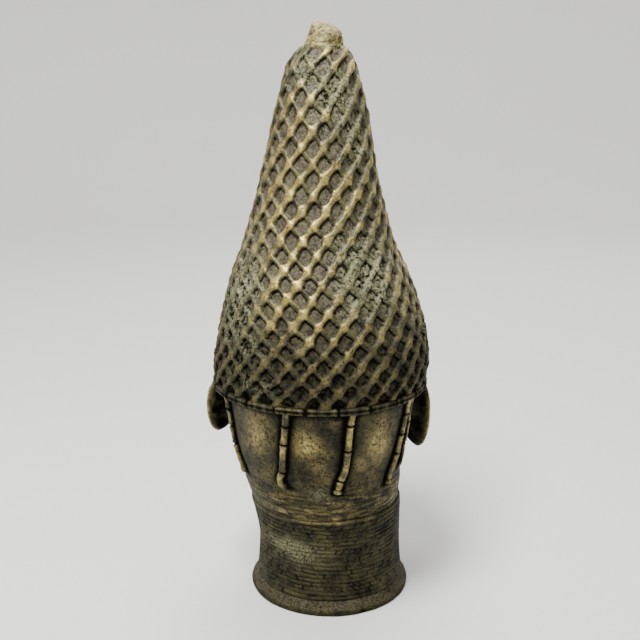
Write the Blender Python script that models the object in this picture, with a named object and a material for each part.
"""Cast bronze head of a woman in a tall netted cap, with a threaded collar and a low flared foot.

The face looks along -Y and the nape is at +Y. It is one hollow casting, open at the foot. Lengths are in
metres, with +Z up and the origin on the ground under the middle of the casting. Angles round the head run
from the middle of the nape, so 180 degrees is the middle of the face, and positive angles turn towards +X.
"""

from dataclasses import dataclass
from math import cos, pi, radians, sin

import bmesh
import bpy
import numpy as np
from mathutils import Vector
from mathutils.geometry import delaunay_2d_cdt

# Heights above the ground
HEIGHT = 0.460
FOOT_EDGE = 0.0045  # thickness of the foot's outer edge
FOOT_RISE = 0.011  # where the foot's sloping top meets the lowest thread of the collar
COLLAR_TOP = 0.080
RIM_HEIGHT = 0.180  # middle of the beaded band round the cap's lower edge
KNOB_HEIGHT = 0.020  # the lump left on the cap's tip
KNOB_BASE = HEIGHT - KNOB_HEIGHT

# Radii
FOOT_RADIUS = 0.0665
COLLAR_FOOT_RADIUS = 0.0612
COLLAR_WAIST_RADIUS = 0.0592
COLLAR_TOP_RADIUS = 0.0626
NECK_RADIUS = 0.0608
HEAD_RADIUS = 0.0790
CAP_RADIUS = 0.0880
KNOB_RADIUS = 0.0152
KNOB_TOP_RADIUS = 0.0108
KNOB_SLANT = 0.009  # how far the knob's broken top falls from one edge to the other
KNOB_FALL = -50.0  # degrees from the middle of the nape to its lowest edge
KNOB_LEAN = -0.0025  # how far its top stands to the side of its base

# How the casting leans
NECK_SHIFT = -0.008  # the neck stands this far to one side of the head
CAP_LEAN = 0.022  # how far forward of the head the cap's tip is
FACE_SWELL = 0.0045  # how much further the head reaches forward than back
EAR_SHIFT = 0.0011  # how much further the ear at +X stands out than the other

# The shell
WALL = 0.004
KEPT_TRIANGLES = 0.79  # the share left once the slivers where two forms meet are merged

# The collar's threads
THREAD_ROWS = 19
THREAD_RELIEF = 0.0008
COLLAR_COLUMNS = 18

# The net over the cap: its meshes are diamonds that grow taller towards the tip
CELL_WIDTH = 0.0191
CELL_HEIGHT_AT_RIM = 0.0185
CELL_HEIGHT_AT_TIP = 0.0257
FIRST_ROW = 0.74  # half meshes from the rim up to the first row of crossings
DRIFT_AT_RIM = -0.0075  # how far a column of crossings stands to the side at the rim
DRIFT_AT_TIP = 0.0180
STRAND_WIDTH = 0.0052
NET_RELIEF = 0.0022
SEAM_ANGLE = 100.0  # the net's two panels meet this many degrees from the middle of the nape

# The beaded band and the hanging strands
BAND_RADIUS = 0.0030
BAND_SEGMENTS = 22
BEAD_RADIUS = 0.0029
JOINT_SHARE = 0.72  # a joint's radius as a share of its bead's

# The ears
EAR_SPAN = 0.1836  # over both ears
EAR_TOP = 0.1785
EAR_FOOT = 0.1310  # lowest point of the ear at +X
OTHER_EAR_FOOT = 0.1170  # lowest point of the ear at -X
EAR_DEPTH = 0.034
EAR_RIM = 0.0042

# The face
EYE_HEIGHT = 0.1475
EYE_SPACING = 0.0600
EYE_WIDTH = 0.0310
EYE_OPENING = 0.0150
EYE_BULGE = 0.0036
NOSE_TIP_HEIGHT = 0.1260
NOSE_LENGTH = 0.0270
NOSE_DEPTH = 0.0165
NOSE_HALF_WIDTH = 0.0125
MOUTH_HEIGHT = 0.1085
MOUTH_WIDTH = 0.0460
LIP_HEIGHT = 0.0086
LIP_BULGE = 0.0042
CHIN_HEIGHT = 0.0900
CHIN_DEPTH = 0.0075
CHIN_HALF_WIDTH = 0.0200
BROW_RELIEF = 0.0022
SOCKET_DEPTH = 0.0028
CHEEK_RELIEF = 0.0022
CHEEK_SIZE = 0.0160

# Outlines, each as (share of its own height, share of its own widest radius)
CAP_OUTLINE = (
    (0.00, 0.970), (0.06, 1.000), (0.15, 0.966), (0.25, 0.897), (0.35, 0.798), (0.42, 0.708), (0.52, 0.618),
    (0.62, 0.541), (0.71, 0.488), (0.80, 0.438), (0.90, 0.364), (0.96, 0.309), (1.00, 0.226),
)
JAW_CURVE = (
    (0.00, 0.000), (0.10, 0.115), (0.185, 0.215), (0.245, 0.245), (0.30, 0.290), (0.355, 0.345),
    (0.41, 0.405), (0.47, 0.455), (0.60, 0.590), (0.78, 0.755), (1.00, 1.000),
)
# How far the cap's middle strays to the side, as (share of its height, share of its widest radius)
CAP_SWAY = (
    (0.00, 0.000), (0.16, -0.024), (0.33, -0.002), (0.45, 0.012), (0.62, 0.007), (0.80, -0.010),
    (0.95, -0.014), (1.00, -0.036),
)


@dataclass(frozen=True)
class Strand:
    """One hanging string of long beads, from the band down to its last bead."""

    start: float  # degrees from the middle of the nape, at the band
    end: float  # degrees, at its lower end
    foot: float  # height of its lower end
    beads: int


STRANDS = (
    Strand(18.0, 24.0, 0.110, 4),
    Strand(-18.3, -11.0, 0.105, 4),
    Strand(70.0, 66.0, 0.108, 4),
    Strand(-61.0, -52.0, 0.105, 4),
    Strand(-68.0, -71.0, 0.112, 4),
    Strand(124.0, 126.0, 0.104, 4),
    Strand(-124.0, -126.0, 0.104, 4),
)


def smooth_through(stations, place):
    """Reads the smooth curve through the stations (place, value), which never overshoots them."""
    x, y = np.array(stations, float).T
    step = np.diff(x)
    slope = np.diff(y) / step
    tangent = np.concatenate(([slope[0]], np.zeros(len(slope) - 1), [slope[-1]]))
    for i in range(1, len(slope)):
        if slope[i - 1] * slope[i] > 0:
            tangent[i] = 2 * slope[i - 1] * slope[i] / (slope[i - 1] + slope[i])
    place = np.clip(place, x[0], x[-1])
    i = np.clip(np.searchsorted(x, place) - 1, 0, len(step) - 1)
    t = (place - x[i]) / step[i]
    return (
        y[i] * (1 + 2 * t) * (1 - t) ** 2
        + y[i + 1] * t**2 * (3 - 2 * t)
        + tangent[i] * step[i] * t * (1 - t) ** 2
        - tangent[i + 1] * step[i] * t**2 * (1 - t)
    )


def ease(low, high, value):
    """Goes smoothly from 0 at low to 1 at high."""
    t = np.clip((value - low) / (high - low), 0.0, 1.0)
    return t * t * (3 - 2 * t)


def cap_sway(z):
    """How far the cap's middle strays to the side at height z."""
    return CAP_RADIUS * smooth_through(CAP_SWAY, (z - RIM_HEIGHT) / (KNOB_BASE - RIM_HEIGHT))


def middle(z):
    """Middle of the section at height z: the neck stands to one side and the cap's tip leans forward."""
    x = NECK_SHIFT * (1 - ease(COLLAR_TOP / 2, (COLLAR_TOP + RIM_HEIGHT) / 2, z)) + cap_sway(z)
    share = np.clip((z - RIM_HEIGHT) / (KNOB_BASE - RIM_HEIGHT), 0.0, 1.1)
    return x, -CAP_LEAN * share**1.5


def on_section(z, angle, radius):
    """The point at this height, angle (radians) and distance from the section's middle."""
    x, y = middle(z)
    return Vector((x + radius * sin(angle), y + radius * cos(angle), z))


def cap_radius(z):
    """Radius of the cap over its strands."""
    return CAP_RADIUS * smooth_through(CAP_OUTLINE, (z - RIM_HEIGHT) / (KNOB_BASE - RIM_HEIGHT))


def head_radius(z):
    """Radius of the nape and jaw, without the face."""
    share = smooth_through(JAW_CURVE, (z - COLLAR_TOP) / (RIM_HEIGHT - COLLAR_TOP))
    return NECK_RADIUS + (HEAD_RADIUS - NECK_RADIUS) * share


def collar_radius(z):
    """Radius of the collar over its threads, waisted between its foot and its top."""
    share = (z - FOOT_RISE) / (COLLAR_TOP - FOOT_RISE)
    stations = ((0.0, COLLAR_FOOT_RADIUS), (0.45, COLLAR_WAIST_RADIUS), (1.0, COLLAR_TOP_RADIUS))
    return float(smooth_through(stations, share))


def swell(x, z, at_x, at_z, half_width, half_height):
    """A soft round swelling that is 1 at its middle and fades at its half width and height."""
    return np.exp(-(((x - at_x) / half_width) ** 2) - ((z - at_z) / half_height) ** 2)


def face_relief(x, z):
    """How far the face stands out of the plain head, at x across it and height z."""
    side = abs(x)
    up = (z - NOSE_TIP_HEIGHT) / NOSE_LENGTH
    down = np.clip(1 - up, 0.0, 1.0)
    under = ease(-0.27, -0.04, up)
    ridge = np.exp(-((side / (NOSE_HALF_WIDTH * (0.5 + 0.5 * down))) ** 2))
    nose = NOSE_DEPTH * (0.12 + 0.88 * down) * ridge * under * ease(1.25, 0.95, up)
    wing = 0.6 * NOSE_HALF_WIDTH
    wings = 0.45 * NOSE_DEPTH * swell(side, z, NOSE_HALF_WIDTH, NOSE_TIP_HEIGHT - wing / 8, wing, wing)
    over_eye = EYE_HEIGHT + 0.8 * EYE_OPENING
    brow = BROW_RELIEF * swell(side, z, EYE_SPACING / 2, over_eye, 0.7 * EYE_WIDTH, EYE_OPENING / 3)
    sunk = swell(side, z, EYE_SPACING / 2, EYE_HEIGHT, 0.65 * EYE_WIDTH, 0.67 * EYE_OPENING)
    socket = -SOCKET_DEPTH * sunk
    cheekbone = MOUTH_HEIGHT + NOSE_LENGTH / 2
    cheek = CHEEK_RELIEF * swell(side, z, 0.6 * EYE_SPACING, cheekbone, CHEEK_SIZE, CHEEK_SIZE)
    muzzle = LIP_BULGE * swell(side, z, 0.0, MOUTH_HEIGHT, 0.54 * MOUTH_WIDTH, 1.4 * LIP_HEIGHT)
    chin = CHIN_DEPTH * swell(side, z, 0.0, CHIN_HEIGHT, CHIN_HALF_WIDTH, LIP_HEIGHT)
    return nose + wings + brow + socket + cheek + muzzle + chin


def face_radius(z, angle):
    """Radius of the head at this height and angle, with the face."""
    forward = max(0.0, -cos(angle))
    radius = float(head_radius(z)) + FACE_SWELL * forward**2
    return radius + float(face_relief(radius * sin(angle), z)) * ease(0.45, 0.75, forward)


def material(name, colour, roughness, metallic):
    """A Principled material of one colour."""
    made = bpy.data.materials.new(name)
    made.use_nodes = True
    shader = made.node_tree.nodes["Principled BSDF"]
    shader.inputs["Base Color"].default_value = (*colour, 1.0)
    shader.inputs["Roughness"].default_value = roughness
    shader.inputs["Metallic"].default_value = metallic
    return made


def object_of(name, bm, surface):
    """Makes an object of a bmesh: triangles, faces outwards, smooth where it is round."""
    bmesh.ops.remove_doubles(bm, verts=bm.verts, dist=1e-6)
    bmesh.ops.triangulate(bm, faces=bm.faces)
    bmesh.ops.recalc_face_normals(bm, faces=bm.faces)
    mesh = bpy.data.meshes.new(name)
    bm.to_mesh(mesh)
    bm.free()
    mesh.shade_smooth()
    mesh.set_sharp_from_angle(angle=radians(32))
    mesh.materials.append(surface)
    made = bpy.data.objects.new(name, mesh)
    bpy.context.scene.collection.objects.link(made)
    return made


def add_loft(bm, rings):
    """Adds a closed solid: a skin from ring to ring, with a flat face over each end."""
    loops = [[bm.verts.new(point) for point in ring] for ring in rings]
    for lower, upper in zip(loops[:-1], loops[1:]):
        for i in range(len(lower)):
            j = (i + 1) % len(lower)
            bm.faces.new((lower[i], lower[j], upper[j], upper[i]))
    bm.faces.new(reversed(loops[0]))
    bm.faces.new(loops[-1])


def turned_ring(z, radius, columns):
    """A round ring about the section's middle."""
    return [on_section(z, 2 * pi * i / columns, radius) for i in range(columns)]


def collar(surface):
    """The flared foot and the collar of threads wound above it."""
    outline = [(0.0, FOOT_RADIUS - 0.0008), (FOOT_EDGE / 3, FOOT_RADIUS), (FOOT_EDGE, FOOT_RADIUS)]
    pitch = (COLLAR_TOP - FOOT_RISE) / THREAD_ROWS
    for row in range(THREAD_ROWS):
        groove = FOOT_RISE + row * pitch
        crest = groove + pitch / 2
        outline.append((groove, collar_radius(groove) - THREAD_RELIEF))
        outline.append((crest, collar_radius(crest)))
    outline.append((COLLAR_TOP, NECK_RADIUS - WALL / 4))
    bm = bmesh.new()
    add_loft(bm, [turned_ring(z, radius, COLLAR_COLUMNS) for z, radius in outline])
    return object_of("collar_and_foot", bm, surface)


def head(surface):
    """The nape, jaw and face, from inside the collar up into the cap."""
    front = [radians(120 + 7.5 * i) for i in range(17)]
    back = [radians(240 + 20 * i) for i in range(1, 12)]
    angles = front + back
    rows = 18
    heights = [COLLAR_TOP + (RIM_HEIGHT - COLLAR_TOP) * i / rows for i in range(rows + 1)]
    rings = [[on_section(z, angle, face_radius(z, angle)) for angle in angles] for z in heights]
    sunk = COLLAR_TOP - 2 * WALL
    raised = RIM_HEIGHT + 2 * WALL
    rings.insert(0, [on_section(sunk, angle, NECK_RADIUS - WALL / 2) for angle in angles])
    rings.append([on_section(raised, angle, HEAD_RADIUS - WALL / 2) for angle in angles])
    bm = bmesh.new()
    add_loft(bm, rings)
    return object_of("bronze_head", bm, surface)


def cap_slant():
    """Heights up the cap, its radius there and the length along its outline to each."""
    z = np.linspace(RIM_HEIGHT, KNOB_BASE, 400)
    radius = cap_radius(z)
    along = np.concatenate(([0.0], np.cumsum(np.hypot(np.diff(z), np.diff(radius)))))
    return z, radius, along


def net_place(row, column, top):
    """Where the net's crossing of this row and column lies: (across, along) on the flat panel.

    A row is half a mesh high and a column half a mesh wide, and whole numbers of like parity are crossings.
    Meshes grow evenly from the rim to the tip, so the rows follow a growing curve, and columns drift aside.
    """
    growth = (CELL_HEIGHT_AT_TIP - CELL_HEIGHT_AT_RIM) / top
    along = CELL_HEIGHT_AT_RIM / growth * (np.exp(growth * (row + FIRST_ROW) / 2) - 1)
    share = along / top
    drift = DRIFT_AT_RIM + (DRIFT_AT_TIP - DRIFT_AT_RIM) * share * (1.75 - 0.75 * share)
    return column * CELL_WIDTH / 2 + drift, along


def net_panel(reach):
    """A panel of net laid flat: points (across, along, raised) and triangles between them.

    Across runs from the panel's middle line to the seams, reach radians round the cap on either side. Along
    runs up the cap's outline. Crossings are raised, and the four corners of each mesh's floor are sunk.
    """
    z, radius, along = cap_slant()
    top = float(along[-1])
    half_width, half_height = CELL_WIDTH / 2, (CELL_HEIGHT_AT_RIM + CELL_HEIGHT_AT_TIP) / 4
    inset = 1 - STRAND_WIDTH / 2 * float(np.hypot(half_width, half_height)) / (half_width * half_height)
    margin = STRAND_WIDTH / 3
    points, raised, index, edges = [], [], {}, []

    def seam(v):
        return float(np.interp(v, along, radius)) * reach

    def add(key, row, column, up):
        u, v = net_place(row, column, top)
        if margin < v < top - margin and abs(u) < seam(v) - margin:
            index[key] = len(points)
            points.append((float(u), float(v)))
            raised.append(up)

    def tie(first, second):
        if first in index and second in index:
            edges.append((index[first], index[second]))

    rows = int(4 * top / (CELL_HEIGHT_AT_RIM + CELL_HEIGHT_AT_TIP)) + 3
    columns = int(CAP_RADIUS * reach / half_width) + 4
    for row in range(-1, rows):
        for column in range(-columns, columns + 1):
            if (row + column) % 2 == 0:
                add((row, column), row, column, True)
                continue
            for side, (up, aside) in enumerate(((0, inset), (inset, 0), (0, -inset), (-inset, 0))):
                add((row, column, side), row + up, column + aside, False)
            for side in range(4):
                tie((row, column, side), (row, column, (side + 1) % 4))
    for row in range(-1, rows):
        for column in range(-columns, columns + 1):
            tie((row, column), (row + 1, column + 1))
            tie((row, column), (row + 1, column - 1))

    first = len(points)
    around = 2 * round(CAP_RADIUS * reach / CELL_WIDTH / 2)
    rim = np.linspace(-seam(0.0), seam(0.0), around + 1)
    tip = np.linspace(seam(top), -seam(top), 7)
    rise = np.linspace(0.0, top, rows // 2 + 5)
    loop = [(u, 0.0) for u in rim[:-1]] + [(seam(v), v) for v in rise[:-1]]
    loop += [(u, top) for u in tip[:-1]] + [(-seam(v), v) for v in rise[:0:-1]]
    points += loop
    raised += [True] * len(loop)
    flat = [Vector(point) for point in points]
    border = list(range(first, len(points)))
    verts, _, faces, origin, _, _ = delaunay_2d_cdt(flat, edges, [border], 1, 1e-7)
    up = [raised[source[0]] if source else True for source in origin]
    return [(vert.x, vert.y, lifted) for vert, lifted in zip(verts, up)], faces


def cap_point(v, angle, up, slant):
    """The cap's point this far up its outline: on a strand, or sunk on a mesh's floor."""
    z, radius, along = slant
    height, reach = float(np.interp(v, along, z)), float(np.interp(v, along, radius))
    if not up:
        ahead, behind = min(v + NET_RELIEF, along[-1]), max(v - NET_RELIEF, 0.0)
        run = float(np.interp(ahead, along, radius) - np.interp(behind, along, radius))
        rise = float(np.interp(ahead, along, z) - np.interp(behind, along, z))
        reach -= NET_RELIEF * rise / float(np.hypot(run, rise))
        height += NET_RELIEF * run / float(np.hypot(run, rise))
    return on_section(height, angle, reach)


def cap(surface):
    """The tall cap under its net: one panel over the back and one over the front, meeting in two seams."""
    slant = cap_slant()
    bm = bmesh.new()
    seam = radians(SEAM_ANGLE)
    for start, reach in ((0.0, seam), (pi, pi - seam)):
        placed, faces = net_panel(reach)
        verts = []
        for u, v, up in placed:
            angle = start + u / float(np.interp(v, slant[2], slant[1]))
            verts.append(bm.verts.new(cap_point(v, angle, up, slant)))
        for face in faces:
            bm.faces.new([verts[i] for i in face])
    bmesh.ops.remove_doubles(bm, verts=bm.verts, dist=2e-6)
    bmesh.ops.holes_fill(bm, edges=[edge for edge in bm.edges if edge.is_boundary], sides=0)
    return object_of("netted_cap", bm, surface)


def knob(surface):
    """The lump on the tip, with its broken top slanting down to one side."""
    columns = 10
    x, y = middle(KNOB_BASE)
    rings = []
    wide = 1.12 * KNOB_RADIUS
    for share, radius in ((-0.5, 1.03 * wide), (0.0, wide), (0.12, KNOB_RADIUS), (1.0, KNOB_TOP_RADIUS)):
        up = max(share, 0.0)
        ring = []
        for i in range(columns):
            angle = radians(KNOB_FALL) + 2 * pi * i / columns
            top = HEIGHT - KNOB_SLANT * (1 + cos(angle - radians(KNOB_FALL))) / 2 * up
            z = KNOB_BASE + share * (top - KNOB_BASE)
            ring.append(Vector((x + KNOB_LEAN * up + radius * sin(angle), y + radius * cos(angle), z)))
        rings.append(ring)
    bm = bmesh.new()
    add_loft(bm, rings)
    return object_of("knob", bm, surface)


def rim_band(surface):
    """The band of tubular beads round the cap's edge, pinched at each joint and rooted in the head."""
    core = float(cap_radius(RIM_HEIGHT)) - BAND_RADIUS / 3
    root = HEAD_RADIUS - 0.6 * WALL
    bm = bmesh.new()
    loops = []
    for i in range(BAND_SEGMENTS):
        for share, thickness in ((0.0, JOINT_SHARE), (0.12, 1.0), (0.88, 1.0)):
            angle = 2 * pi * (i + share) / BAND_SEGMENTS
            bulge = BAND_RADIUS * thickness
            corners = (
                (core + bulge, 0.0), (core, bulge), (root, bulge), (root, -BAND_RADIUS), (core, -bulge),
            )
            spots = [on_section(RIM_HEIGHT, angle, out) + Vector((0, 0, up)) for out, up in corners]
            loops.append([bm.verts.new(spot) for spot in spots])
    for loop, following in zip(loops, loops[1:] + loops[:1]):
        for corner in range(len(loop)):
            ahead = (corner + 1) % len(loop)
            bm.faces.new((loop[corner], loop[ahead], following[ahead], following[corner]))
    return object_of("rim_band", bm, surface)


def add_strand(bm, strand):
    """Adds one hanging string of long beads that follows the head, its back rooted in the wall."""
    root = 0.75 * WALL
    gap = 0.06 / strand.beads
    top = RIM_HEIGHT - BAND_RADIUS / 2
    stations = []
    for bead in range(strand.beads):
        start, end = bead / strand.beads, (bead + 1) / strand.beads
        stations += [(start + gap, 1.0), (end - gap, 1.0)]
        if bead < strand.beads - 1:
            stations.append((end, JOINT_SHARE))
    stations = [(0.0, 0.8)] + stations + [(1.0, 0.55)]
    rings = []
    for share, thickness in stations:
        z = top - (top - strand.foot) * share
        angle = radians(strand.start + (strand.end - strand.start) * share)
        radius = BEAD_RADIUS * thickness
        outward = Vector((sin(angle), cos(angle), 0.0))
        across = Vector((cos(angle), -sin(angle), 0.0))
        core = on_section(z, angle, face_radius(z, angle) + 0.25 * BEAD_RADIUS)
        corners = ((radius, 0.0), (0.0, radius), (-root, 0.0), (0.0, -radius))
        rings.append([core + outward * out + across * aside for out, aside in corners])
    add_loft(bm, rings)


def add_lens(bm, angle, z, width, height, rise, points):
    """Adds an almond on the face: a raised edge with a bulging middle, wider than it is high."""
    across = Vector((cos(angle), -sin(angle), 0.0))
    outward = Vector((sin(angle), cos(angle), 0.0))
    seat = on_section(z, angle, face_radius(z, angle))
    rings = []
    for share, lift in ((1.0, -WALL), (1.0, 0.4 * rise), (0.78, 0.62 * rise), (0.3, rise)):
        ring = []
        for i in range(points):
            turn = 2 * pi * i / points
            x = share * width / 2 * cos(turn)
            up = share * height / 2 * sin(turn) * (1 - 0.35 * cos(turn) ** 2)
            bend = -(x**2) / (2 * HEAD_RADIUS)
            ring.append(seat + across * x + outward * (lift + bend) + Vector((0, 0, up)))
        rings.append(ring)
    add_loft(bm, rings)


def ear_place(way):
    """Middle height, half height, the head's radius there and the ear's reach, on the side way (1 or -1)."""
    foot = EAR_FOOT if way > 0 else OTHER_EAR_FOOT
    height = (EAR_TOP + foot) / 2
    return height, (EAR_TOP - foot) / 2, float(head_radius(height)), EAR_SPAN / 2 + way * EAR_SHIFT


def add_ear(bm, way):
    """Adds a stylised ear: a raised curling rim round a hollow, on the side way (1 or -1)."""
    points = 12
    height, half, skin, out = ear_place(way)
    edge = out - EAR_RIM / 2
    stations = ((1.0, skin - 2 * WALL), (1.0, edge), (0.88, out), (0.72, out), (0.60, edge))
    rings = []
    for share, reach in stations:
        ring = []
        for i in range(points):
            turn = 2 * pi * i / points
            depth = share * EAR_DEPTH / 2 * cos(turn) * (1 + 0.16 * sin(turn))
            ring.append(Vector((way * reach, depth - EAR_DEPTH / 4, height + share * half * sin(turn))))
        rings.append(ring)
    add_loft(bm, rings)


def ear_backs(surface):
    """The deep hollow behind each ear's rim, which opens to the back."""
    points = 10
    bm = bmesh.new()
    for way in (1, -1):
        height, half, skin, out = ear_place(way)
        low, high = skin - WALL / 10, out - 1.15 * EAR_RIM
        rings = []
        for share, depth in ((0.55, -EAR_DEPTH / 3), (0.9, -EAR_DEPTH / 8), (1.0, EAR_DEPTH / 2)):
            ring = []
            for i in range(points):
                turn = 2 * pi * i / points
                reach = (low + high) / 2 + (high - low) / 2 * cos(turn) * share
                up = (half - EAR_RIM) * sin(turn) * share
                ring.append(Vector((way * reach, depth, height + up)))
            rings.append(ring)
        add_loft(bm, rings)
    return object_of("ear_backs", bm, surface)


def carving(surface):
    """The ears, eyes, lips and hanging strands, which stand clear of each other."""
    bm = bmesh.new()
    for way in (1, -1):
        add_ear(bm, way)
        eye = pi + way * float(np.arcsin(EYE_SPACING / 2 / HEAD_RADIUS))
        add_lens(bm, eye, EYE_HEIGHT, EYE_WIDTH, EYE_OPENING, EYE_BULGE, 8)
        lip = MOUTH_HEIGHT + way * 0.53 * LIP_HEIGHT
        add_lens(bm, pi, lip, MOUTH_WIDTH, LIP_HEIGHT, LIP_BULGE, 8)
    for strand in STRANDS:
        add_strand(bm, strand)
    return object_of("carving", bm, surface)


def cavity(surface):
    """The hollow inside, open at the foot and closed under the cap's tip."""
    columns = 12
    heights = [-WALL, FOOT_RISE, COLLAR_TOP * 0.5, COLLAR_TOP]
    heights += [COLLAR_TOP + (RIM_HEIGHT - COLLAR_TOP) * share for share in (0.2, 0.45, 0.7, 1.0)]
    tall = KNOB_BASE - RIM_HEIGHT
    heights += [RIM_HEIGHT + tall * share for share in (0.1, 0.25, 0.35, 0.45, 0.6, 0.75, 0.86)]
    rings = []
    for z in heights:
        if z <= COLLAR_TOP:
            skin = min(NECK_RADIUS, COLLAR_WAIST_RADIUS - THREAD_RELIEF)
        elif z <= RIM_HEIGHT:
            skin = float(head_radius(z))
        else:
            skin = float(cap_radius(z)) - NET_RELIEF
        rings.append(turned_ring(z, skin - WALL, columns))
    bm = bmesh.new()
    add_loft(bm, rings)
    return object_of("cavity", bm, surface)


def build():
    """Joins the forms into one casting and hollows it."""
    for old in list(bpy.data.objects):
        bpy.data.objects.remove(old, do_unlink=True)
    bronze = material("aged_bronze", (0.115, 0.088, 0.050), 0.52, 0.85)
    casting = head(bronze)
    tools = [
        ("UNION", carving(bronze)),
        ("UNION", collar(bronze)),
        ("UNION", rim_band(bronze)),
        ("UNION", cap(bronze)),
        ("UNION", knob(bronze)),
        ("DIFFERENCE", ear_backs(bronze)),
        ("DIFFERENCE", cavity(bronze)),
    ]
    nose = face_radius(NOSE_TIP_HEIGHT, pi)
    centred = Vector((-EAR_SHIFT, (nose - CAP_RADIUS) / 2, 0.0))
    casting.location = centred
    for operation, tool in tools:
        tool.location = centred
        tool.hide_render = True
        tool.display_type = "WIRE"
        joined = casting.modifiers.new(tool.name, "BOOLEAN")
        joined.operation = operation
        joined.solver = "EXACT"
        joined.use_self = True
        joined.object = tool
    trimmed = casting.modifiers.new("trimmed_joints", "DECIMATE")
    trimmed.decimate_type = "COLLAPSE"
    trimmed.ratio = KEPT_TRIANGLES
    trimmed.use_collapse_triangulate = True
    return casting


build()
